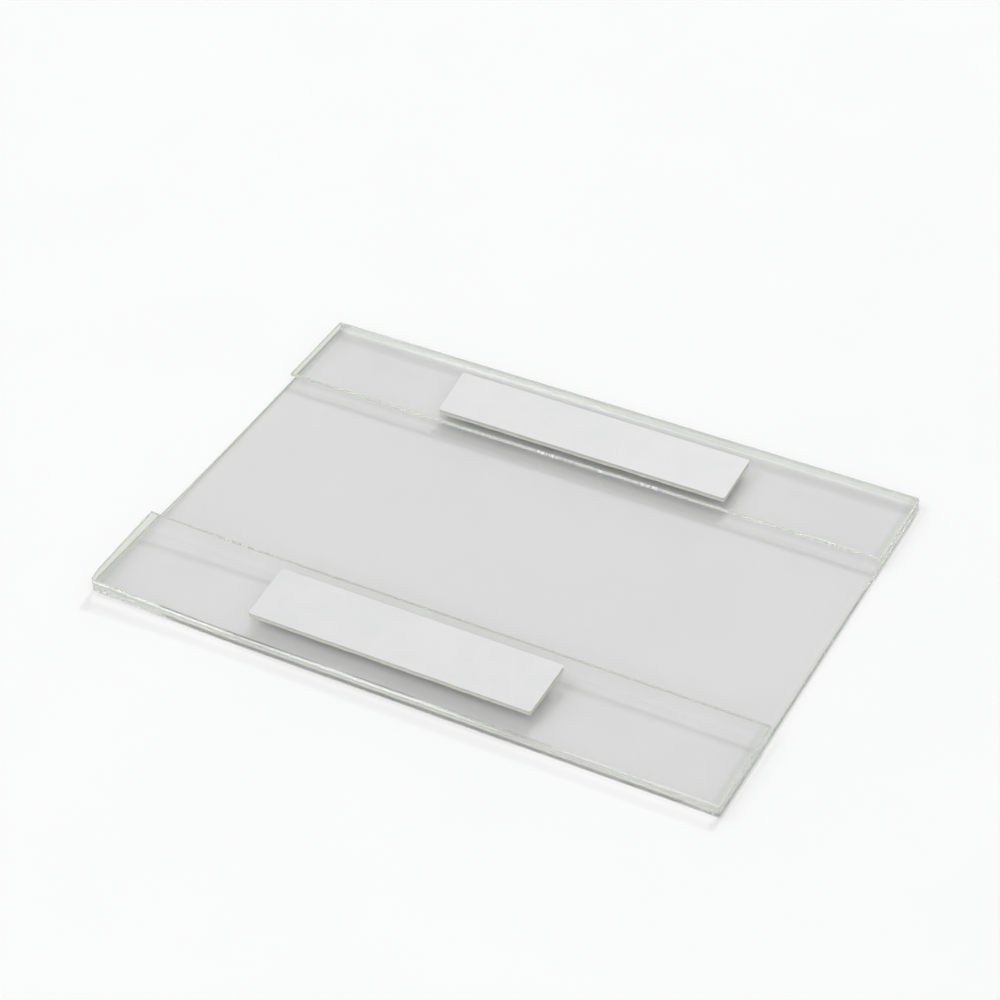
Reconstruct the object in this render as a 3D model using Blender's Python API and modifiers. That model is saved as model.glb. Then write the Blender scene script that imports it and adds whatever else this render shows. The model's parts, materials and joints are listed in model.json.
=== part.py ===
"""Folded clear-sheet negative carrier for 5 x 7 inch (13 x 18 cm) sheet film.

One clear plastic sheet has both of its long edges folded up and back over it. The film slides in
from either short end, with its long edges held under the two flanges. A strip of double-coated
foam tape lies on each flange, its upper face still covered by a release liner, and sticks the
carrier to a holder or a light box.

Frame: X along the length, Y across with the front edge at -Y, and Z up. The origin is the middle
of the underside. All sizes are in metres.
"""

import math

import bmesh
import bpy

# The film, and the room that it has in the carrier
FILM_WIDTH = 0.127
FILM_SIDE_CLEARANCE = 0.0005
FILM_GAP = 0.0017

# The folded sheet
SHEET_LENGTH = 0.178
SHEET_THICKNESS = 0.0010
BEND_INNER_RADIUS = 0.0005
BEND_STEPS = 10

# The foam tape, from the sheet up
TAPE_WIDTH = 0.018
ADHESIVE_THICKNESS = 0.0001
FOAM_THICKNESS = 0.0010
LINER_THICKNESS = 0.0001
LAYER_GAP = 0.00003
TAPE_CORNER_RADIUS = 0.0007
TAPE_CORNER_STEPS = 4

# Each folded edge. outward is the side of the frame that it is on, flange_width runs from the
# outer face of the fold to the flange's cut edge, and spring is the angle by which the fold has
# opened. The tape's place is from the middle of the sheet and from the flange's cut edge. Its ends
# are cut by hand, and each skew is how far an end leans across the width of the tape.
EDGES = {
    "front": {
        "outward": -1,
        "flange_width": 0.0305,
        "spring": math.radians(2.5),
        "tape_length": 0.081,
        "tape_middle": -0.005,
        "tape_inset": 0.0046,
        "left_skew": -0.0006,
        "right_skew": 0.0002,
    },
    "rear": {
        "outward": 1,
        "flange_width": 0.0285,
        "spring": 0.0,
        "tape_length": 0.087,
        "tape_middle": -0.0004,
        "tape_inset": 0.0025,
        "left_skew": -0.0021,
        "right_skew": -0.0005,
    },
}

OUTER_WIDTH = FILM_WIDTH + 2 * (FILM_SIDE_CLEARANCE + SHEET_THICKNESS)
BEND_RADIUS = BEND_INNER_RADIUS + SHEET_THICKNESS / 2
BEND_OUTER_RADIUS = BEND_INNER_RADIUS + SHEET_THICKNESS

# name of the layer, its thickness and its finish, from the flange up
TAPE_LAYERS = (
    ("lower_adhesive", ADHESIVE_THICKNESS, "adhesive"),
    ("foam_core", FOAM_THICKNESS, "foam"),
    ("upper_adhesive", ADHESIVE_THICKNESS, "adhesive"),
    ("release_liner", LINER_THICKNESS, "liner"),
)

# colour, roughness and alpha of each finish. Nothing on the carrier is metal.
FINISHES = {
    "clear_sheet": ((0.72, 0.74, 0.72), 0.06, 0.35),
    "adhesive": ((0.80, 0.80, 0.76), 0.25, 0.60),
    "foam": ((0.78, 0.79, 0.77), 0.85, 1.0),
    "liner": ((0.82, 0.82, 0.81), 0.45, 1.0),
}


def clear_scene():
    for old in list(bpy.data.objects):
        bpy.data.objects.remove(old, do_unlink=True)


def make_finish(name):
    colour, roughness, alpha = FINISHES[name]
    material = bpy.data.materials.new(name)
    material.use_nodes = True
    shader = material.node_tree.nodes["Principled BSDF"]
    shader.inputs["Base Color"].default_value = (*colour, 1.0)
    shader.inputs["Roughness"].default_value = roughness
    shader.inputs["Metallic"].default_value = 0.0
    shader.inputs["Alpha"].default_value = alpha
    material.diffuse_color = (*colour, alpha)
    return material


def add_object(name, bm, collection, material):
    """A new object holding the bmesh, which is freed."""
    bmesh.ops.recalc_face_normals(bm, faces=bm.faces)
    mesh = bpy.data.meshes.new(name)
    bm.to_mesh(mesh)
    bm.free()
    mesh.materials.append(material)
    part = bpy.data.objects.new(name, mesh)
    collection.objects.link(part)
    return part


def arc(centre, radius, start, sweep, steps):
    """Points on an arc after its first one, as (across, height)."""
    points = []
    for step in range(1, steps + 1):
        angle = start + sweep * step / steps
        points.append((centre[0] + radius * math.cos(angle), centre[1] + radius * math.sin(angle)))
    return points


def folded_edge(edge):
    """The middle of the sheet's thickness, as (across, height) points.

    It runs from the base at the start of the fold, up the fold, to the flange's cut edge. Across
    is measured outward from the middle of the base.
    """
    spring = edge["spring"]
    across = OUTER_WIDTH / 2 - BEND_OUTER_RADIUS
    base = SHEET_THICKNESS / 2
    rise = SHEET_THICKNESS + FILM_GAP
    quarter = math.pi / 2

    points = [(across, base)]
    points += arc((across, base + BEND_RADIUS), BEND_RADIUS, -quarter, quarter, BEND_STEPS)
    upper = (across, base + rise - BEND_RADIUS)
    points.append((across + BEND_RADIUS, upper[1]))
    points += arc(upper, BEND_RADIUS, 0.0, quarter - spring, BEND_STEPS)

    flat = edge["flange_width"] - BEND_OUTER_RADIUS
    last = points[-1]
    points.append((last[0] - flat * math.cos(spring), last[1] + flat * math.sin(spring)))
    return points


def make_sheet(collection, material):
    """The folded sheet: its middle surface, drawn across and extruded along X, then given its wall."""
    front = [(-across, height) for across, height in folded_edge(EDGES["front"])]
    rear = [(across, height) for across, height in folded_edge(EDGES["rear"])]
    section = front[::-1] + rear

    bm = bmesh.new()
    line = [bm.verts.new((-SHEET_LENGTH / 2, y, z)) for y, z in section]
    edges = [bm.edges.new(pair) for pair in zip(line, line[1:])]
    swept = bmesh.ops.extrude_edge_only(bm, edges=edges)["geom"]
    moved = [item for item in swept if isinstance(item, bmesh.types.BMVert)]
    bmesh.ops.translate(bm, verts=moved, vec=(SHEET_LENGTH, 0.0, 0.0))

    sheet = add_object("carrier_sheet", bm, collection, material)
    wall = sheet.modifiers.new("wall", "SOLIDIFY")
    wall.thickness = SHEET_THICKNESS
    wall.offset = 0.0
    wall.use_even_offset = True
    return sheet


def flange_frame(side, collection):
    """An empty on top of the flange's cut edge, halfway along, with its Z off the flange's face."""
    edge = EDGES[side]
    across, height = folded_edge(edge)[-1]
    across += math.sin(edge["spring"]) * SHEET_THICKNESS / 2
    height += math.cos(edge["spring"]) * SHEET_THICKNESS / 2
    frame = bpy.data.objects.new(side + "_flange_frame", None)
    frame.location = (0.0, edge["outward"] * across, height)
    frame.rotation_euler = (-edge["outward"] * edge["spring"], 0.0, 0.0)
    frame.empty_display_size = 0.01
    collection.objects.link(frame)
    return frame


def make_layer(name, edge, thickness, collection, material):
    """One layer of tape about its own middle: a box with slanted ends and rounded corners."""
    bm = bmesh.new()
    bmesh.ops.create_cube(bm, size=1.0)
    bmesh.ops.scale(bm, verts=bm.verts, vec=(edge["tape_length"], TAPE_WIDTH, thickness))
    for vert in bm.verts:
        skew = edge["left_skew"] if vert.co.x < 0 else edge["right_skew"]
        vert.co.x += skew * vert.co.y / TAPE_WIDTH
    corners = [e for e in bm.edges if abs(e.verts[0].co.z - e.verts[1].co.z) > thickness / 2]
    bmesh.ops.bevel(
        bm,
        geom=corners,
        offset=TAPE_CORNER_RADIUS,
        offset_type="OFFSET",
        segments=TAPE_CORNER_STEPS,
        profile=0.5,
        affect="EDGES",
    )
    return add_object(name, bm, collection, material)


def make_tape(side, collection, finishes):
    """The layers of one strip of tape, stacked up from its flange with a small gap under each."""
    edge = EDGES[side]
    frame = flange_frame(side, collection)
    bottom = 0.0
    for layer, thickness, finish in TAPE_LAYERS:
        bottom += LAYER_GAP
        name = side + "_" + layer
        piece = make_layer(name, edge, thickness, collection, finishes[finish])
        piece.parent = frame
        middle_across = edge["outward"] * (edge["tape_inset"] + TAPE_WIDTH / 2)
        piece.location = (edge["tape_middle"], middle_across, bottom + thickness / 2)
        bottom += thickness


def main():
    clear_scene()
    collection = bpy.data.collections.new("negative_carrier")
    bpy.context.scene.collection.children.link(collection)
    finishes = {name: make_finish(name) for name in FINISHES}
    make_sheet(collection, finishes["clear_sheet"])
    for side in EDGES:
        make_tape(side, collection, finishes)


main()
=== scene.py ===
"""Looks of the folded clear-sheet negative carrier and its two strips of foam tape.

Every size is in metres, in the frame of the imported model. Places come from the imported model's
nodes and mounts. Lengths inside materials are in millimetres, because their coordinates are scaled.
"""

import json
import math
import random

import bmesh
import bpy
from mathutils import Matrix, Vector, noise


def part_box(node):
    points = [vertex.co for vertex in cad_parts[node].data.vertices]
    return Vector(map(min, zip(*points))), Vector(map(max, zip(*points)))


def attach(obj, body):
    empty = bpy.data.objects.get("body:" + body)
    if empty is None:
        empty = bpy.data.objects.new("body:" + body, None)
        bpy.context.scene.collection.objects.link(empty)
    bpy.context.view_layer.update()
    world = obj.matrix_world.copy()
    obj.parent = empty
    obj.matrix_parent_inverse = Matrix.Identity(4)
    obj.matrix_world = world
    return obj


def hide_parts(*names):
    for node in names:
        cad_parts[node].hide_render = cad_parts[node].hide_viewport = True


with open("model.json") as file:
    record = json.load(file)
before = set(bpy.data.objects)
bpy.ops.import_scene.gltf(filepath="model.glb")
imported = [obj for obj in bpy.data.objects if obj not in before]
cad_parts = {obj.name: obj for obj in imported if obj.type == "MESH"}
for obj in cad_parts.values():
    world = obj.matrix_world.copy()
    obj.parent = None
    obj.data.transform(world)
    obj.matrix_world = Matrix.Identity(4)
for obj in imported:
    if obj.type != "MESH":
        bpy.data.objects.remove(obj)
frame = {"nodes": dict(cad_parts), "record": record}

MM = 0.001

# The folded sheet, as in the CAD model
SHEET_THICKNESS = 1.0 * MM
FILM_GAP = 1.7 * MM
BEND_INNER_RADIUS = 0.5 * MM
FLANGE_WIDTH = {"front": 30.5 * MM, "rear": 28.5 * MM}
SIDES = ("front", "rear")

# How finely the sheet is drawn. RIM_STEPS are distances from a cut edge, close together where the
# rims are rounded. A face is part of a bend where its normal's Z is under BEND_TURN.
BEND_STEPS = 14
FLAT_STEP = 3.5 * MM
LENGTH_STEP = 1.0 * MM
BEND_TURN = 0.985
RIM_RADIUS = 0.12 * MM
RIM_STEPS = (0.0, 0.012 * MM, 0.045 * MM, RIM_RADIUS, 0.30 * MM, 0.9 * MM)
FAR_FROM_CUT = 1.0

# The corners of the folded sheet, by the end (-1 left, 1 right) and the side (-1 front, 1 rear)
CORNER_RADIUS = {(-1, -1): 3.2 * MM, (1, -1): 1.3 * MM, (-1, 1): 0.7 * MM, (1, 1): 2.2 * MM}
CORNER_REACH = 6.0 * MM

# The sheet isn't quite flat: its front left corner stands off the table, and the flanges wave. The
# lift starts at LIFT_FROM and reaches its full height at the corner, at LIFT_TO.
LIFT = 1.3 * MM
LIFT_FROM_X = -46.0 * MM
LIFT_FROM_Y = 10.0 * MM
LIFT_TO_X = -89.0 * MM
LIFT_TO_Y = -65.0 * MM
LIFT_POWER = 1.3
WAVE_HEIGHT = 0.03 * MM
WAVE_LENGTH = 45.0 * MM

# The cut edges of the flanges wobble and have small chips, which fade out EDGE_REACH from the edge.
# A chip takes its depth off the outer face, and CHIP_INWARD of that depth off the edge. The two
# sides read rows of the noise that lie WOBBLE_ROW to either side of 0.
EDGE_REACH = 1.2 * MM
EDGE_WOBBLE = 0.05 * MM
WOBBLE_LENGTH = 6.0 * MM
WOBBLE_ROW = 9.0
CHIP_COUNT = 16
CHIP_LENGTH = (0.6 * MM, 2.2 * MM)
CHIP_DEPTH = (0.04 * MM, 0.16 * MM)
CHIP_INWARD = 0.4
CHIP_SEED = 7
HAZED_RIM = 0.2 * MM

# Painted glints on the flanges' cut edges, white patches over small chips: the middle of each along
# X, and its length
GLINT_CHIPS = {
    -1: ((-65.0 * MM, 2.0 * MM), (-60.0 * MM, 1.6 * MM), (-56.5 * MM, 1.8 * MM)),
    1: ((-8.4 * MM, 5.0 * MM), (8.4 * MM, 2.0 * MM), (22.5 * MM, 4.5 * MM)),
}
GLINT_CHIP_DEPTH = 0.18 * MM

# The strips of tape. Each grid is the step along the tape, the step across it and the levels.
FOAM_GRID = (0.7 * MM, 1.0 * MM, 7)
FOAM_HOLLOW = 0.10 * MM
FOAM_RAGGED = 0.05 * MM
FOAM_COARSE_SHARE = 0.6
FOAM_COARSE_LENGTH = 2.5 * MM
FOAM_FINE_LENGTH = 0.5 * MM
ADHESIVE_GRID = (1.0 * MM, 1.5 * MM, 2)
ADHESIVE_INSET = 0.12 * MM
ADHESIVE_LENGTH = 3.0 * MM
LINER_GRID = (1.5 * MM, 1.5 * MM, 2)
LINER_RIM = 0.02 * MM
LINER_RAGGED = 0.03 * MM
LINER_RAGGED_LENGTH = 1.6 * MM
LINER_DIP = 0.015 * MM
LINER_DIP_LENGTH = 14.0 * MM
SAME_PLACE = 0.001 * MM
CUT_TOLERANCE = 1e-7
FLAT_ANGLE = math.radians(1.0)
SHARP_ANGLE = math.radians(50.0)

# The slots of the folded sheet's materials
FACE, CUT_EDGE, UNDERSIDE, BEND, PAINTED_GLINT_EDGE = range(5)

# The clear plastic's tints as the eye sees them. The underside's dark tint is painted shade: it
# darkens the floor seen through the base.
PLASTIC_IOR = 1.49
FACE_TINT = (0.985, 0.99, 0.985)
UNDERSIDE_PAINTED_SHADE = (0.622, 0.622, 0.617)
BEND_TINT = (0.97, 0.98, 0.96)
TINT_VARIATION = 0.985

# Its surface. Each set of scratches is their angle, their spacing in mm and how thin they are, and
# the stretch draws them out along that angle.
SCRATCHES = ((0.35, 2.2, 0.010), (-0.9, 3.1, 0.008))
SCRATCH_STRETCH = (0.035, 1.0, 0.3)
POLISHED_ROUGHNESS = 0.015
SMUDGE_ROUGHNESS = 0.05
SCRATCH_ROUGHNESS = 0.12
DUST_ROUGHNESS = 0.3
DUST_SHARE = 0.5
DUST_COLOUR = (0.55, 0.55, 0.53)

# How far in from the flanges' short ends a painted grey-green shade shows, at the left and the right;
# it is darker at the left. It comes in over a share of that width, and it is faint under the heights
# given in mm.
END_BAND = {-1: 4.6 * MM, 1: 3.0 * MM}
END_BAND_PAINTED_SHADE = {-1: (0.795, 0.805, 0.765), 1: (0.91, 0.92, 0.885)}
END_BAND_FADE = 0.6
END_BAND_HEIGHTS = (1.2, 2.0)
END_BAND_FAINT = 0.2

# What one surface lets through of the light from lamps, and of soft light. The front fold's shadow
# falls on the bare floor, where the photo shows next to none, so it is lighter than the rear one's.
FACE_LIGHT = (0.985, 0.985, 0.985)
UNDERSIDE_LIGHT = (0.92, 0.92, 0.92)
FRONT_BEND_LAMP = (0.62, 0.625, 0.61)
REAR_BEND_LAMP = (0.14, 0.14, 0.14)
BEND_SOFT = (0.97, 0.972, 0.965)
CUT_EDGE_LAMP = (0.12, 0.125, 0.11)
CUT_EDGE_SOFT = (0.75, 0.76, 0.73)

# Where the shadows lie, in mm: how far from a flange's cut edge its shadow runs out, how much of the
# cut edge's own colour it has there, and the heights in a bend between which its shadow starts
EDGE_SHADOW_REACH = (0.2, 1.3)
EDGE_SHADOW_SHARE = 0.7
BEND_SHADOW_HEIGHTS = (1.5, 2.2)

# Each veil is the share and tint of the light that goes straight through, then the share and
# colour of the haze
BEND_VEIL = (0.62, (0.95, 0.955, 0.935), 0.22, (0.84, 0.85, 0.80))
CUT_EDGE_VEIL = (0.56, (0.95, 0.955, 0.93), 0.42, (0.79, 0.80, 0.75))
GLOSS_LIMIT = 0.10
GLOSS_ROUGHNESS = 0.08

# The other colours. A pair is mixed by a texture.
CUT_EDGE_COLOURS = ((0.80, 0.83, 0.76), (0.90, 0.92, 0.87))
CUT_MARK_COLOUR = (0.95, 0.95, 0.92)
PAINTED_GLINT_COLOURS = ((0.78, 0.79, 0.76), (0.92, 0.92, 0.91))
LINER_COLOURS = ((0.708, 0.711, 0.710), (0.741, 0.741, 0.736))
LINER_FIBRE_COLOUR = (0.673, 0.673, 0.663)
LINER_SPECK_COLOUR = (0.62, 0.61, 0.58)
# The foam's colours are painted shade: the first in its open cells, the second between them
FOAM_SHADED_COLOURS = ((0.60, 0.61, 0.55), (0.82, 0.83, 0.77))
FOAM_CLOUD_COLOUR = (0.72, 0.73, 0.66)
ADHESIVE_COLOURS = ((0.66, 0.67, 0.62), (0.78, 0.79, 0.76))
FLOOR_COLOURS = ((0.93, 0.93, 0.93), (0.95, 0.95, 0.95))
WHITE = (1.0, 1.0, 1.0)

# The camera, which looks down at the carrier from the front right
CAMERA_AZIMUTH = 28.498
CAMERA_ELEVATION = 39.291
CAMERA_ROLL = -1.060
CAMERA_AIM = Vector((-12.31, 17.16, 0.0)) * MM
CAMERA_DISTANCE = 769.67 * MM
CAMERA_LENS = 103.51
CAMERA_SENSOR = 36.0
CAMERA_CLIP = (0.01, 20.0)

FLOOR_DROP = 0.05 * MM
FLOOR_SIZE = 6.0

# The room's light, and the large pale reflector behind the carrier
ROOM_LIGHT = (0.40, 0.402, 0.405)
REAR_GLOW = (0.98, 0.98, 0.98)
REAR_GLOW_DIRECTION = Vector((-0.30, 0.80, 0.50))
REAR_GLOW_SPREAD = (0.62, 0.90)

# The softboxes. The strip lies in the direction "along", which makes it show as the long highlight
# on the front fold. The others have their width level.
SOFTBOXES = (
    {
        "name": "rear_softbox",
        "azimuth": 184.0,
        "elevation": 38.0,
        "distance": 2.6,
        "size": (0.28, 0.28),
        "power": 16.0,
    },
    {
        "name": "left_softbox",
        "azimuth": 282.0,
        "elevation": 47.0,
        "distance": 2.6,
        "size": (0.70, 0.90),
        "power": 5.0,
    },
    {
        "name": "strip_softbox",
        "azimuth": 313.8,
        "elevation": 56.3,
        "distance": 2.6,
        "size": (2.60, 0.26),
        "power": 11.0,
        "along": Vector((0.0, 0.909, 0.418)),
    },
    {
        "name": "front_softbox",
        "azimuth": 34.0,
        "elevation": 43.0,
        "distance": 2.8,
        "size": (2.60, 2.40),
        "power": 26.0,
    },
)

# Light turns many times inside the clear sheet before it leaves
LIGHT_BOUNCES = 32


# --- small helpers ------------------------------------------------------------------------------


def add_object(name, data, materials=()):
    """A new object in the scene, holding a mesh, a lamp or a camera."""
    for material in materials:
        data.materials.append(material)
    item = bpy.data.objects.new(name, data)
    bpy.context.scene.collection.objects.link(item)
    return item


def add_mesh(name, bm, materials):
    """A new object holding the bmesh, which is freed."""
    mesh = bpy.data.meshes.new(name)
    bm.to_mesh(mesh)
    bm.free()
    return add_object(name, mesh, materials)


def smoothstep(value):
    value = min(max(value, 0.0), 1.0)
    return value * value * (3.0 - 2.0 * value)


def mount(name):
    """A mount's point and its axis."""
    found = next(m for m in frame["record"]["mounts"] if m["name"] == name)
    return Vector(found["pos_m"]), Vector(found["axis"]).normalized()


def view_axes(azimuth, elevation):
    """For a viewer in a direction from the carrier: its level right, and the way back to it.

    Azimuth 0 is at -Y, and 90 is at +X.
    """
    turn, rise = math.radians(azimuth), math.radians(elevation)
    right = Vector((math.cos(turn), math.sin(turn), 0.0))
    level = math.cos(rise)
    return right, Vector((math.sin(turn) * level, -math.cos(turn) * level, math.sin(rise)))


# --- material helpers ---------------------------------------------------------------------------


def connect(tree, socket, value):
    """Gives a socket another node's output, a colour or a plain value."""
    if isinstance(value, bpy.types.NodeSocket):
        tree.links.new(value, socket)
    elif socket.type == "RGBA":
        socket.default_value = (*value, 1.0)
    else:
        socket.default_value = value


def add_node(tree, kind, settings=None, **inputs):
    """A new node. An input is a value or another node's output, and _ in its name is a space."""
    node = tree.nodes.new(kind)
    for name, value in (settings or {}).items():
        setattr(node, name, value)
    for name, value in inputs.items():
        connect(tree, node.inputs[name.replace("_", " ")], value)
    return node


def new_material(name):
    """An empty material, its tree and its output node."""
    material = bpy.data.materials.new(name)
    material.use_nodes = True
    material.node_tree.nodes.clear()
    output = material.node_tree.nodes.new("ShaderNodeOutputMaterial")
    return material, material.node_tree, output


def millimetres(tree, stretch=(1.0, 1.0, 1.0), turn=0.0):
    """The piece's own coordinates in millimetres, turned about Z and then stretched."""
    own = add_node(tree, "ShaderNodeTexCoord").outputs["Object"]
    mapping = add_node(tree, "ShaderNodeMapping", {"vector_type": "TEXTURE"}, Vector=own)
    mapping.inputs["Rotation"].default_value = (0.0, 0.0, turn)
    turned = mapping.outputs["Vector"]
    scaled = add_node(tree, "ShaderNodeVectorMath", {"operation": "MULTIPLY"}, Vector=turned)
    scaled.inputs[1].default_value = tuple(part / MM for part in stretch)
    return scaled.outputs["Vector"]


def noise_of(tree, vector, scale, detail=3.0, rough=0.5, distortion=0.0):
    node = add_node(
        tree,
        "ShaderNodeTexNoise",
        Vector=vector,
        Scale=scale,
        Detail=detail,
        Roughness=rough,
        Distortion=distortion,
    )
    return node.outputs["Fac"]


def cells_of(tree, vector, scale):
    """The distance to the middle of the nearest cell."""
    return add_node(tree, "ShaderNodeTexVoronoi", Vector=vector, Scale=scale).outputs["Distance"]


def remap(tree, value, low, high, to_low=0.0, to_high=1.0):
    """A smooth step from to_low, where the value is low, to to_high, where it is high."""
    node = add_node(
        tree,
        "ShaderNodeMapRange",
        {"interpolation_type": "SMOOTHSTEP"},
        Value=value,
        From_Min=low,
        From_Max=high,
        To_Min=to_low,
        To_Max=to_high,
    )
    return node.outputs["Result"]


def split(tree, vector):
    """The X, Y and Z of a vector."""
    return add_node(tree, "ShaderNodeSeparateXYZ", Vector=vector).outputs


def maths(tree, operation, first, second):
    node = add_node(tree, "ShaderNodeMath", {"operation": operation})
    for socket, value in zip(node.inputs, (first, second)):
        connect(tree, socket, value)
    return node.outputs[0]


def mix_colour(tree, factor, first, second):
    """The first colour where the factor is 0, and the second where it is 1."""
    node = add_node(tree, "ShaderNodeMix", {"data_type": "RGBA"})
    for index, value in ((0, factor), (6, first), (7, second)):
        connect(tree, node.inputs[index], value)
    return node.outputs[2]


def mix_shaders(tree, share, first, second):
    """The first shader, with a share of the second in its place."""
    mix = tree.nodes.new("ShaderNodeMixShader")
    for socket, value in zip(mix.inputs, (share, first, second)):
        connect(tree, socket, value)
    return mix.outputs[0]


def bump(tree, height, distance_mm, strength=1.0, normal=None):
    inputs = {"Height": height, "Distance": distance_mm * MM, "Strength": strength}
    if normal is not None:
        inputs["Normal"] = normal
    return add_node(tree, "ShaderNodeBump", **inputs).outputs["Normal"]


def scratches(tree, turn, spacing, width):
    """Long thin marks at one angle, from 0 to 1."""
    along = millimetres(tree, stretch=SCRATCH_STRETCH, turn=turn)
    lines = noise_of(tree, along, 1.0 / spacing, detail=2.0, rough=0.6, distortion=0.15)
    thin = maths(tree, "ABSOLUTE", maths(tree, "SUBTRACT", lines, 0.5), 0.0)
    mark = remap(tree, thin, 0.0, width, 1.0, 0.0)
    patches = noise_of(tree, millimetres(tree), 0.07, detail=2.0)
    return maths(tree, "MULTIPLY", mark, remap(tree, patches, 0.52, 0.66))


# --- materials of the clear sheet ---------------------------------------------------------------


def veil(tree, shader, open_share, open_tint, haze_share, haze_colour):
    """Softens glass whose thin curved rims would look black: some light goes straight through."""
    straight = add_node(tree, "ShaderNodeBsdfTransparent", Color=open_tint).outputs[0]
    haze = add_node(tree, "ShaderNodeBsdfDiffuse", Color=haze_colour, Roughness=0.5).outputs[0]
    return mix_shaders(tree, haze_share, mix_shaders(tree, open_share, shader, straight), haze)


def gloss(tree, shader):
    """Adds a polished surface's reflection, limited where the surface turns away from the eye."""
    shine = add_node(tree, "ShaderNodeBsdfGlossy", Color=WHITE, Roughness=GLOSS_ROUGHNESS)
    amount = add_node(tree, "ShaderNodeFresnel", IOR=PLASTIC_IOR).outputs[0]
    limited = maths(tree, "MINIMUM", amount, GLOSS_LIMIT)
    return mix_shaders(tree, limited, shader, shine.outputs[0])


def see_through(tree, output, shader, lamp_colour, soft_colour):
    """Lets lamps and soft light through clear plastic, tinted, and shows it as glass otherwise."""
    path = add_node(tree, "ShaderNodeLightPath").outputs
    passes = maths(tree, "MAXIMUM", path["Is Shadow Ray"], path["Is Diffuse Ray"])
    passed = mix_colour(tree, path["Is Shadow Ray"], soft_colour, lamp_colour)
    clear = add_node(tree, "ShaderNodeBsdfTransparent", Color=passed).outputs[0]
    tree.links.new(mix_shaders(tree, passes, shader, clear), output.inputs["Surface"])


def end_band(tree, place, end):
    """1 at one short end of the flanges, where painted shade goes, and 0 away from it. end is -1 at
    the left, 1 at the right.
    """
    along, _, height = split(tree, place)
    half_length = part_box("carrier_sheet")[1].x
    outward = maths(tree, "MULTIPLY", along, float(end))
    band_start = (half_length - END_BAND[end]) / MM
    band_full = band_start + END_BAND_FADE * END_BAND[end] / MM
    near_end = remap(tree, outward, band_start, band_full)
    raised = remap(tree, height, *END_BAND_HEIGHTS, END_BAND_FAINT, 1.0)
    return maths(tree, "MULTIPLY", near_end, raised)


def polished_plastic(tree, place, tint):
    """Clear plastic with fine scratches, smudges and specks of dust, and painted grey-green shade
    near its short ends.
    """
    smudges = remap(tree, noise_of(tree, place, 0.045, detail=4.0, rough=0.6), 0.50, 0.72)
    marks = maths(tree, "MAXIMUM", *[scratches(tree, *scratch) for scratch in SCRATCHES])
    dust = remap(tree, cells_of(tree, place, 0.22), 0.028, 0.045, 1.0, 0.0)
    mottle = noise_of(tree, place, 0.03, detail=3.0)
    darker = tuple(part * TINT_VARIATION for part in tint)
    colour = mix_colour(tree, remap(tree, mottle, 0.35, 0.65), tint, darker)
    # Painted grey-green shade near the short ends, darker at the left
    for end, end_shade in END_BAND_PAINTED_SHADE.items():
        colour = mix_colour(tree, end_band(tree, place, end), colour, end_shade)
    colour = mix_colour(tree, maths(tree, "MULTIPLY", dust, DUST_SHARE), colour, DUST_COLOUR)
    rough = POLISHED_ROUGHNESS
    amounts = ((smudges, SMUDGE_ROUGHNESS), (marks, SCRATCH_ROUGHNESS), (dust, DUST_ROUGHNESS))
    for mask, amount in amounts:
        rough = maths(tree, "ADD", maths(tree, "MULTIPLY", mask, amount), rough)
    flow = bump(tree, noise_of(tree, place, 0.035, detail=1.0), 0.25, 0.35)
    shader = add_node(
        tree,
        "ShaderNodeBsdfPrincipled",
        Base_Color=colour,
        Roughness=rough,
        Normal=bump(tree, marks, 0.004, 0.5, flow),
        IOR=PLASTIC_IOR,
        Transmission_Weight=1.0,
    )
    return shader.outputs[0]


def face_material(name, tint, light):
    """A flat face of the sheet. It dims lamps near a cut edge, which gives the edge its shadow."""
    material, tree, output = new_material(name)
    surface = polished_plastic(tree, millimetres(tree), tint)
    to_cut = add_node(tree, "ShaderNodeAttribute", {"attribute_name": "to_cut"}).outputs["Fac"]
    near_cut = remap(tree, to_cut, *EDGE_SHADOW_REACH, EDGE_SHADOW_SHARE, 0.0)
    see_through(tree, output, surface, mix_colour(tree, near_cut, light, CUT_EDGE_LAMP), light)
    return material


def bend_material(name):
    """The bends of the folds. Their upper part dims lamps, which gives each fold its shadow."""
    material, tree, output = new_material(name)
    place = millimetres(tree)
    surface = gloss(tree, veil(tree, polished_plastic(tree, place, BEND_TINT), *BEND_VEIL))
    _, across, height = split(tree, place)
    at_rear = remap(tree, across, -1.0, 1.0)
    upper = mix_colour(tree, at_rear, FRONT_BEND_LAMP, REAR_BEND_LAMP)
    is_upper = remap(tree, height, *BEND_SHADOW_HEIGHTS)
    lamp_colour = mix_colour(tree, is_upper, BEND_SOFT, upper)
    see_through(tree, output, surface, lamp_colour, BEND_SOFT)
    return material


def painted_glint(tree, surface):
    """Lays painted glints over a surface: white, rough patches in a broken pattern."""
    glint_grain = noise_of(tree, millimetres(tree), 1.6, detail=4.0, rough=0.65)
    glint_patch = add_node(
        tree,
        "ShaderNodeBsdfPrincipled",
        Base_Color=mix_colour(tree, remap(tree, glint_grain, 0.35, 0.65), *PAINTED_GLINT_COLOURS),
        Roughness=0.4,
        Normal=bump(tree, glint_grain, 0.08, 0.7),
    )
    return mix_shaders(tree, remap(tree, glint_grain, 0.42, 0.56), surface, glint_patch.outputs[0])


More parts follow.
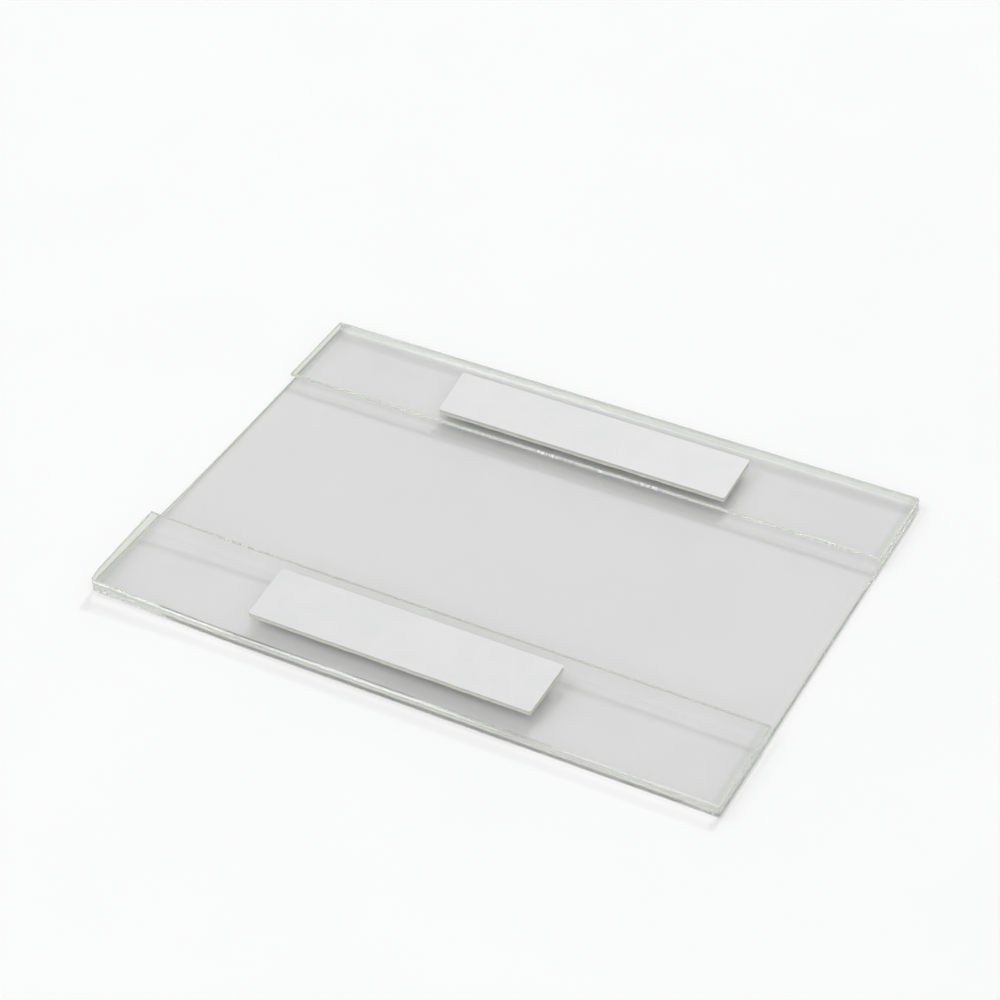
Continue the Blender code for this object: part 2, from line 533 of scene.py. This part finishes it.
def cut_edge_material(name, glinting=False):
    """The sheet's cut edges: fine marks of the cut across the thickness and a grey-green tint, with
    painted glints where glinting.
    """
    material, tree, output = new_material(name)
    across = millimetres(tree, stretch=(1.0, 1.0, 0.08))
    cuts = noise_of(tree, across, 3.2, detail=3.0, rough=0.65)
    slow = noise_of(tree, millimetres(tree), 0.12, detail=2.0)
    colour = mix_colour(tree, remap(tree, slow, 0.35, 0.65), *CUT_EDGE_COLOURS)
    cut_marks = remap(tree, cuts, 0.55, 0.75, 0.0, 0.5)
    shader = add_node(
        tree,
        "ShaderNodeBsdfPrincipled",
        Base_Color=mix_colour(tree, cut_marks, colour, CUT_MARK_COLOUR),
        Roughness=remap(tree, cuts, 0.3, 0.7, 0.10, 0.32),
        Normal=bump(tree, cuts, 0.05, 0.6),
        IOR=PLASTIC_IOR,
        Transmission_Weight=1.0,
    )
    surface = veil(tree, shader.outputs[0], *CUT_EDGE_VEIL)
    # Painted glints: white patches over parts of the cut edge
    if glinting:
        surface = painted_glint(tree, surface)
    see_through(tree, output, surface, CUT_EDGE_LAMP, CUT_EDGE_SOFT)
    return material


# --- materials of the tape ----------------------------------------------------------------------


def liner_material():
    """Silicone-coated release paper: satin, with a faint mottle and fine fibres."""
    material, tree, output = new_material("release_paper")
    place = millimetres(tree)
    cloud = noise_of(tree, place, 0.08, detail=4.0, rough=0.6)
    fibres = noise_of(tree, millimetres(tree, stretch=(0.35, 1.4, 1.0), turn=0.25), 2.6, detail=5.0)
    speck = remap(tree, cells_of(tree, place, 0.35), 0.03, 0.06, 1.0, 0.0)
    colour = mix_colour(tree, remap(tree, cloud, 0.3, 0.7), *LINER_COLOURS)
    fibre_share = remap(tree, fibres, 0.35, 0.75, 0.0, 0.18)
    colour = mix_colour(tree, fibre_share, colour, LINER_FIBRE_COLOUR)
    colour = mix_colour(tree, maths(tree, "MULTIPLY", speck, 0.35), colour, LINER_SPECK_COLOUR)
    shader = add_node(
        tree,
        "ShaderNodeBsdfPrincipled",
        Base_Color=colour,
        Roughness=remap(tree, cloud, 0.3, 0.7, 0.40, 0.52),
        Normal=bump(tree, fibres, 0.02, 0.5, bump(tree, cloud, 0.25, 0.25)),
        Coat_Weight=0.12,
        Coat_Roughness=0.35,
    )
    tree.links.new(shader.outputs[0], output.inputs["Surface"])
    return material


def foam_material():
    """Closed-cell foam: round cells cut open on its sides. Its colour is painted shade: an olive grey
    darker than the white foam, darkest in the open cells.
    """
    material, tree, output = new_material("foam_cells")
    place = millimetres(tree)
    cells = cells_of(tree, place, 5.5)
    small = cells_of(tree, place, 12.0)
    pits = maths(tree, "MULTIPLY", remap(tree, cells, 0.15, 0.6), remap(tree, small, 0.05, 0.5))
    cloud = remap(tree, noise_of(tree, place, 0.25, detail=3.0), 0.4, 0.7, 0.0, 0.3)
    # Painted shade: darkest in the open cells, olive grey between them
    colour = mix_colour(tree, cloud, mix_colour(tree, pits, *FOAM_SHADED_COLOURS), FOAM_CLOUD_COLOUR)
    shader = add_node(
        tree,
        "ShaderNodeBsdfPrincipled",
        Base_Color=colour,
        Roughness=remap(tree, cells, 0.1, 0.6, 0.75, 0.95),
        Normal=bump(tree, pits, 0.06, 0.8),
        Specular_IOR_Level=0.35,
    )
    tree.links.new(shader.outputs[0], output.inputs["Surface"])
    return material


def adhesive_material():
    """Cloudy acrylic adhesive, with pale patches where air is trapped under it."""
    material, tree, output = new_material("acrylic_adhesive")
    place = millimetres(tree)
    patches = noise_of(tree, place, 0.5, detail=4.0, rough=0.55, distortion=0.4)
    bubbles = remap(tree, cells_of(tree, place, 0.9), 0.10, 0.20, 1.0, 0.0)
    air = maths(tree, "MAXIMUM", remap(tree, patches, 0.56, 0.62), bubbles)
    shader = add_node(
        tree,
        "ShaderNodeBsdfPrincipled",
        Base_Color=mix_colour(tree, air, *ADHESIVE_COLOURS),
        Roughness=remap(tree, air, 0.0, 1.0, 0.18, 0.45),
        Normal=bump(tree, air, 0.03, 0.6),
    )
    tree.links.new(shader.outputs[0], output.inputs["Surface"])
    return material


# --- the folded sheet ---------------------------------------------------------------------------


def folded_side(side, half_width, spring):
    """Stations along the middle of the sheet's thickness, from the middle of the base to a cut edge.

    Each is (across, height, normal across, normal height, distance to the cut edge). The normal
    points to the outside of the fold. On the base and the bends the distance is FAR_FROM_CUT.
    """
    bend = BEND_INNER_RADIUS + SHEET_THICKNESS / 2
    start = half_width - BEND_INNER_RADIUS - SHEET_THICKNESS
    base = SHEET_THICKNESS / 2
    top = base + SHEET_THICKNESS + FILM_GAP

    flat_count = round(start / FLAT_STEP)
    stations = [(start * step / flat_count, base, 0.0, -1.0) for step in range(flat_count + 1)]

    def add_bend(height, first, last):
        for step in range(1, BEND_STEPS + 1):
            angle = first + (last - first) * step / BEND_STEPS
            normal = (math.cos(angle), math.sin(angle))
            stations.append((start + bend * normal[0], height + bend * normal[1], *normal))

    add_bend(base + bend, -math.pi / 2, 0.0)
    stations.append((start + bend, top - bend, 1.0, 0.0))
    add_bend(top - bend, 0.0, math.pi / 2 - spring)

    corner = stations[-1]
    inward = Vector((-math.cos(spring), math.sin(spring)))
    flat = FLANGE_WIDTH[side] - BEND_INNER_RADIUS - SHEET_THICKNESS
    run = flat - RIM_STEPS[-1]
    flat_count = round(run / FLAT_STEP)
    reaches = [run * step / flat_count for step in range(1, flat_count + 1)]
    reaches += [flat - rim for rim in reversed(RIM_STEPS[:-1])]
    flange = [(*(Vector(corner[:2]) + inward * reach), *corner[2:]) for reach in reaches]

    end = Vector(flange[-1][:2])
    placed = [(*station, FAR_FROM_CUT) for station in stations]
    return placed + [(*station, (Vector(station[:2]) - end).length) for station in flange]


def length_stations(low, high):
    """Places along X, close together at the two ends where the rims are rounded."""
    inner_low, inner_high = low + RIM_STEPS[-1], high - RIM_STEPS[-1]
    count = round((inner_high - inner_low) / LENGTH_STEP)
    left = [low + rim for rim in RIM_STEPS[:-1]]
    middle = [inner_low + (inner_high - inner_low) * step / count for step in range(count + 1)]
    right = [high - rim for rim in RIM_STEPS[-2::-1]]
    return left + middle + right


def rounded_half(distance):
    """Half of the sheet's thickness at a distance from a cut edge, whose rims are rounded."""
    half = SHEET_THICKNESS / 2
    if distance >= RIM_RADIUS:
        return half
    inset = RIM_RADIUS - distance
    return half - RIM_RADIUS + math.sqrt(max(RIM_RADIUS**2 - inset**2, 0.0))


def lift_at(x, y):
    """How far the sheet stands off the table at a place: only its front left corner does."""
    along = (LIFT_FROM_X - x) / (LIFT_FROM_X - LIFT_TO_X)
    across = (LIFT_FROM_Y - y) / (LIFT_FROM_Y - LIFT_TO_Y)
    if along <= 0.0 or across <= 0.0:
        return 0.0
    return LIFT * along**LIFT_POWER * smoothstep(across)


def corner_shift(x, y, low, high):
    """How far a point near an end moves in along X, which rounds the folded sheet's corners."""
    end, side = (-1 if x < 0 else 1), (-1 if y < 0 else 1)
    radius = CORNER_RADIUS[end, side]
    from_fold = (y - low.y) if side < 0 else (high.y - y)
    from_end = (x - low.x) if end < 0 else (high.x - x)
    if from_fold >= radius or from_end >= CORNER_REACH:
        return 0.0
    inset = radius - math.sqrt(radius**2 - (radius - max(from_fold, 0.0)) ** 2)
    return -end * inset * smoothstep(1.0 - from_end / CORNER_REACH)


def make_chips(random_source, low, high):
    """Small chips along one cut edge, each (middle, half length, depth)."""
    chips = []
    for _ in range(CHIP_COUNT):
        middle = random_source.uniform(low, high)
        length = random_source.uniform(*CHIP_LENGTH)
        chips.append((middle, length / 2, random_source.uniform(*CHIP_DEPTH)))
    return chips


def chip_at(chips, x):
    """The depth of the chips at a place along a cut edge."""
    return sum(depth * smoothstep(1.0 - abs(x - middle) / half) for middle, half, depth in chips)


def add_points(bm, line, places, low, high):
    """The sheet's points: a row for each place along X, of (outer, inner) pairs along the line."""
    source = random.Random(CHIP_SEED)
    chips = {side: make_chips(source, low.x, high.x) for side in GLINT_CHIPS}
    for side, glint_spots in GLINT_CHIPS.items():
        chips[side] += [(middle, length / 2, GLINT_CHIP_DEPTH) for middle, length in glint_spots]
    to_cut = bm.verts.layers.float.new("to_cut")
    rows = []
    for x in places:
        end_half = rounded_half(min(x - low.x, high.x - x))
        row = []
        for y, z, normal_y, normal_z, gap in line:
            side = -1 if y < 0 else 1
            half = min(rounded_half(gap), end_half)
            on_flange = z > SHEET_THICKNESS and gap < FAR_FROM_CUT
            wave = noise.noise(Vector((x, y, 0.0)) / WAVE_LENGTH) * WAVE_HEIGHT
            rise = lift_at(x, y) + (wave if on_flange else 0.0)
            near_edge = smoothstep(1.0 - gap / EDGE_REACH)
            noise_place = Vector((x / WOBBLE_LENGTH, side * WOBBLE_ROW, 0.0))
            wobble = noise.noise(noise_place) * EDGE_WOBBLE
            chip = chip_at(chips[side], x)
            shift = side * near_edge * (abs(wobble) + CHIP_INWARD * chip)
            pair = []
            for sign in (1.0, -1.0):
                reach = sign * half - (near_edge * chip if sign > 0 else 0.0)
                across = y + shift + normal_y * reach
                along = x + corner_shift(x, across, low, high)
                pair.append(bm.verts.new((along, across, z + rise + normal_z * reach)))
                pair[-1][to_cut] = gap / MM
            row.append(pair)
        rows.append(row)
    return rows


def flange_edge_slot(y, x):
    """The slot of a flange's cut edge at a place along it, where some parts carry painted glints."""
    glint_spots = GLINT_CHIPS[-1 if y < 0 else 1]
    glinting = any(abs(x - middle) < length / 2 for middle, length in glint_spots)
    return PAINTED_GLINT_EDGE if glinting else CUT_EDGE


def add_faces(bm, rows, line, places, low, high):
    """The sheet's outer and inner faces and its cut edges, each in the slot of its material."""

    def quad(corners, slot):
        face = bm.faces.new(corners)
        face.material_index = slot
        face.smooth = True

    # The line runs along the middle of the thickness, so on the base its height is half of it
    above_base = SHEET_THICKNESS * 0.51
    last = len(line) - 1
    for first, second, first_x, second_x in zip(rows, rows[1:], places, places[1:]):
        middle_x = (first_x + second_x) / 2
        at_end = min(first_x - low.x, high.x - second_x) < HAZED_RIM
        for index in range(last):
            here, there = line[index], line[index + 1]
            on_base = max(here[1], there[1]) < above_base
            in_bend = min(abs(here[3]), abs(there[3])) < BEND_TURN
            inner_slot = BEND if in_bend else FACE
            outer_slot = UNDERSIDE if on_base else inner_slot
            if at_end:
                outer_slot = inner_slot = CUT_EDGE
            if min(here[4], there[4]) < HAZED_RIM:
                outer_slot = inner_slot = flange_edge_slot(here[0], middle_x)
            a, b = first[index], first[index + 1]
            c, d = second[index + 1], second[index]
            quad((a[0], b[0], c[0], d[0]), outer_slot)
            quad((a[1], d[1], c[1], b[1]), inner_slot)
        for index in (0, last):
            a, b = first[index], second[index]
            quad((a[0], a[1], b[1], b[0]), flange_edge_slot(line[index][0], middle_x))
    for row in (rows[0], rows[-1]):
        for a, b in zip(row, row[1:]):
            quad((a[0], a[1], b[1], b[0]), CUT_EDGE)


def make_sheet(materials):
    """The folded sheet, with rounded bends, rims and corners and worn cut edges."""
    low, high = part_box("carrier_sheet")
    springs = {side: math.acos(min(mount(side + "_tape_face")[1].z, 1.0)) for side in SIDES}
    front, rear = [folded_side(side, high.y, springs[side]) for side in SIDES]
    line = [(-a, h, -na, nh, gap) for a, h, na, nh, gap in reversed(front[1:])] + rear
    places = length_stations(low.x, high.x)

    bm = bmesh.new()
    rows = add_points(bm, line, places, low, high)
    add_faces(bm, rows, line, places, low, high)
    bmesh.ops.recalc_face_normals(bm, faces=bm.faces)
    piece = add_mesh("folded_sheet", bm, materials)
    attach(piece, "carrier")
    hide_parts("carrier_sheet")


# --- the strips of foam tape --------------------------------------------------------------------


def tape_frame(side):
    """The matrix from the tape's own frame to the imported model's: X along it, Z off its face."""
    place, normal = mount(side + "_tape_face")
    along = Vector((1.0, 0.0, 0.0))
    across = normal.cross(along).normalized()
    rotation = Matrix((along, across, normal)).transposed().to_4x4()
    return Matrix.Translation(place) @ rotation


def cut_slab(node, side, along_step, across_step, level_count):
    """A closed copy of a CAD layer in the tape's own frame, cut into a fine even grid."""
    bm = bmesh.new()
    bm.from_mesh(frame["nodes"][node].data)
    bmesh.ops.remove_doubles(bm, verts=bm.verts, dist=SAME_PLACE)
    bmesh.ops.dissolve_limit(bm, angle_limit=FLAT_ANGLE, verts=bm.verts[:], edges=bm.edges[:])
    bmesh.ops.transform(bm, matrix=tape_frame(side).inverted(), verts=bm.verts)
    lows = [min(v.co[axis] for v in bm.verts) for axis in range(3)]
    highs = [max(v.co[axis] for v in bm.verts) for axis in range(3)]
    along_count = round((highs[0] - lows[0]) / along_step)
    across_count = round((highs[1] - lows[1]) / across_step)
    for axis, count in enumerate((along_count, across_count, level_count)):
        normal = Vector([1.0 if index == axis else 0.0 for index in range(3)])
        for step in range(1, count):
            place = normal * (lows[axis] + (highs[axis] - lows[axis]) * step / count)
            everything = bm.verts[:] + bm.edges[:] + bm.faces[:]
            bmesh.ops.bisect_plane(
                bm, geom=everything, dist=CUT_TOLERANCE, plane_co=place, plane_no=normal
            )
    bm.normal_update()
    return bm, lows, highs


def side_direction(vert):
    """The outward direction of the slab's side at a vertex, or None away from its sides."""
    flat = Vector((0.0, 0.0, 0.0))
    for face in vert.link_faces:
        if abs(face.normal.z) < 0.5:
            flat += Vector((face.normal.x, face.normal.y, 0.0))
    return flat.normalized() if flat.length > 0.1 else None


def finish_slab(bm, moves, name, node, side, material, body):
    """Moves the slab's points and makes it the piece that stands for its CAD node."""
    for vert, move in moves:
        vert.co += move
    for face in bm.faces:
        face.smooth = True
    bmesh.ops.transform(bm, matrix=tape_frame(side), verts=bm.verts)
    piece = add_mesh(name, bm, [material])
    for old in [a for a in piece.data.attributes if a.name.startswith("custom_normal")]:
        piece.data.attributes.remove(old)
    piece.data.set_sharp_from_angle(angle=SHARP_ANGLE)
    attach(piece, body)
    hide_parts(node)
    return piece


def make_foam(side, material):
    """The foam core, whose slit sides are slightly hollow and ragged."""
    node = side + "_foam_core"
    bm, lows, highs = cut_slab(node, side, *FOAM_GRID)
    moves = []
    for vert in bm.verts:
        out = side_direction(vert)
        if out is None:
            continue
        level = (vert.co.z - lows[2]) / (highs[2] - lows[2])
        hollow = FOAM_HOLLOW * (1.0 - (2.0 * level - 1.0) ** 2)
        coarse = abs(noise.noise(vert.co / FOAM_COARSE_LENGTH))
        fine = abs(noise.noise(vert.co / FOAM_FINE_LENGTH))
        ragged = FOAM_RAGGED * (FOAM_COARSE_SHARE * coarse + fine)
        moves.append((vert, out * -(hollow + ragged)))
    piece = finish_slab(bm, moves, side + "_foam", node, side, material, "carrier")


def make_adhesive(side, layer, material):
    """A film of adhesive, drawn back a little from the sides of the foam and uneven along them."""
    node = f"{side}_{layer}_adhesive"
    bm, _, _ = cut_slab(node, side, *ADHESIVE_GRID)
    moves = []
    for vert in bm.verts:
        out = side_direction(vert)
        if out is not None:
            uneven = 0.5 + noise.noise(vert.co / ADHESIVE_LENGTH)
            moves.append((vert, out * -(ADHESIVE_INSET * max(uneven, 0.1))))
    finish_slab(bm, moves, node + "_film", node, side, material, "carrier")


def make_liner(side, material):
    """The release paper, with softened edges and the slight unevenness of the tape under it."""
    node = side + "_release_liner"
    bm, lows, highs = cut_slab(node, side, *LINER_GRID)
    middle = (lows[2] + highs[2]) / 2
    moves = []
    for vert in bm.verts:
        move = Vector((0.0, 0.0, 0.0))
        out = side_direction(vert)
        if out is not None:
            ragged = abs(noise.noise(vert.co / LINER_RAGGED_LENGTH))
            on_rim = abs(vert.co.z - middle) > LINER_RIM
            move -= out * ((LINER_RIM if on_rim else 0.0) + LINER_RAGGED * ragged)
        flat = Vector((vert.co.x, vert.co.y, 0.0))
        move.z -= LINER_DIP * abs(noise.noise(flat / LINER_DIP_LENGTH))
        moves.append((vert, move))
    finish_slab(bm, moves, side + "_liner_paper", node, side, material, side + "_liner")


# --- floor, lights and camera -------------------------------------------------------------------


def make_floor():
    """A plain pale floor, which can be seen through from below."""
    material, tree, output = new_material("studio_floor")
    grain = noise_of(tree, millimetres(tree), 0.02, detail=2.0)
    top = add_node(
        tree,
        "ShaderNodeBsdfPrincipled",
        Base_Color=mix_colour(tree, grain, *FLOOR_COLOURS),
        Roughness=0.9,
        Specular_IOR_Level=0.1,
    )
    under = add_node(tree, "ShaderNodeBsdfTransparent")
    from_below = add_node(tree, "ShaderNodeNewGeometry").outputs["Backfacing"]
    surface = mix_shaders(tree, from_below, top.outputs[0], under.outputs[0])
    tree.links.new(surface, output.inputs["Surface"])

    bm = bmesh.new()
    bmesh.ops.create_grid(bm, x_segments=8, y_segments=8, size=FLOOR_SIZE)
    floor = add_mesh("studio_floor", bm, [material])
    floor.location.z = -FLOOR_DROP


def add_softbox(name, azimuth, elevation, distance, size, power, along=None):
    """An area light that points at the carrier.

    Its width lies level, or as nearly as it can in the direction that along gives.
    """
    lamp = bpy.data.lights.new(name, "AREA")
    lamp.shape = "RECTANGLE"
    lamp.size, lamp.size_y = size
    lamp.energy = power
    level, back = view_axes(azimuth, elevation)
    side = level if along is None else (along - back * along.dot(back)).normalized()
    rotation = Matrix((side, back.cross(side), back)).transposed().to_4x4()
    light = add_object(name, lamp)
    light.matrix_world = Matrix.Translation(back * distance) @ rotation


def make_lights():
    """The room's light, brighter behind the carrier, and the softboxes."""
    world = bpy.data.worlds.new("studio")
    world.use_nodes = True
    tree = world.node_tree
    direction = add_node(tree, "ShaderNodeTexCoord").outputs["Generated"]
    rear = add_node(tree, "ShaderNodeVectorMath", {"operation": "DOT_PRODUCT"}, Vector=direction)
    rear.inputs[1].default_value = REAR_GLOW_DIRECTION.normalized()
    glow = remap(tree, rear.outputs["Value"], *REAR_GLOW_SPREAD)
    colour = mix_colour(tree, glow, ROOM_LIGHT, REAR_GLOW)
    tree.links.new(colour, tree.nodes["Background"].inputs["Color"])
    bpy.context.scene.world = world
    for softbox in SOFTBOXES:
        add_softbox(**softbox)


def make_camera():
    """The camera at the photo's viewing angle."""
    right, back = view_axes(CAMERA_AZIMUTH, CAMERA_ELEVATION)
    upright = Matrix((right, back.cross(right), back)).transposed()
    rolled = upright @ Matrix.Rotation(math.radians(CAMERA_ROLL), 3, "Z")
    lens = bpy.data.cameras.new("camera")
    lens.lens = CAMERA_LENS
    lens.sensor_width = CAMERA_SENSOR
    lens.clip_start, lens.clip_end = CAMERA_CLIP
    camera = add_object("camera", lens)
    place = Matrix.Translation(CAMERA_AIM + back * CAMERA_DISTANCE)
    camera.matrix_world = place @ rolled.to_4x4()
    bpy.context.scene.camera = camera


def main():
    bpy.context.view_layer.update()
    make_camera()
    make_floor()
    make_lights()
    materials = {
        FACE: face_material("clear_sheet_face", FACE_TINT, FACE_LIGHT),
        # The underside's dark tint is painted shade on the floor seen through the base
        UNDERSIDE: face_material("clear_sheet_underside", UNDERSIDE_PAINTED_SHADE, UNDERSIDE_LIGHT),
        BEND: bend_material("clear_sheet_bend"),
        CUT_EDGE: cut_edge_material("clear_sheet_cut_edge"),
        PAINTED_GLINT_EDGE: cut_edge_material("clear_sheet_glint_edge", glinting=True),
    }
    make_sheet([materials[slot] for slot in sorted(materials)])
    liner = liner_material()
    foam = foam_material()
    adhesive = adhesive_material()
    for side in SIDES:
        make_adhesive(side, "lower", adhesive)
        make_foam(side, foam)
        make_adhesive(side, "upper", adhesive)
        make_liner(side, liner)
    scene = bpy.context.scene
    scene.view_settings.view_transform = "Standard"
    scene.cycles.max_bounces = LIGHT_BOUNCES
    scene.cycles.transmission_bounces = LIGHT_BOUNCES
    scene.cycles.glossy_bounces = LIGHT_BOUNCES
    scene.cycles.transparent_max_bounces = LIGHT_BOUNCES


main()
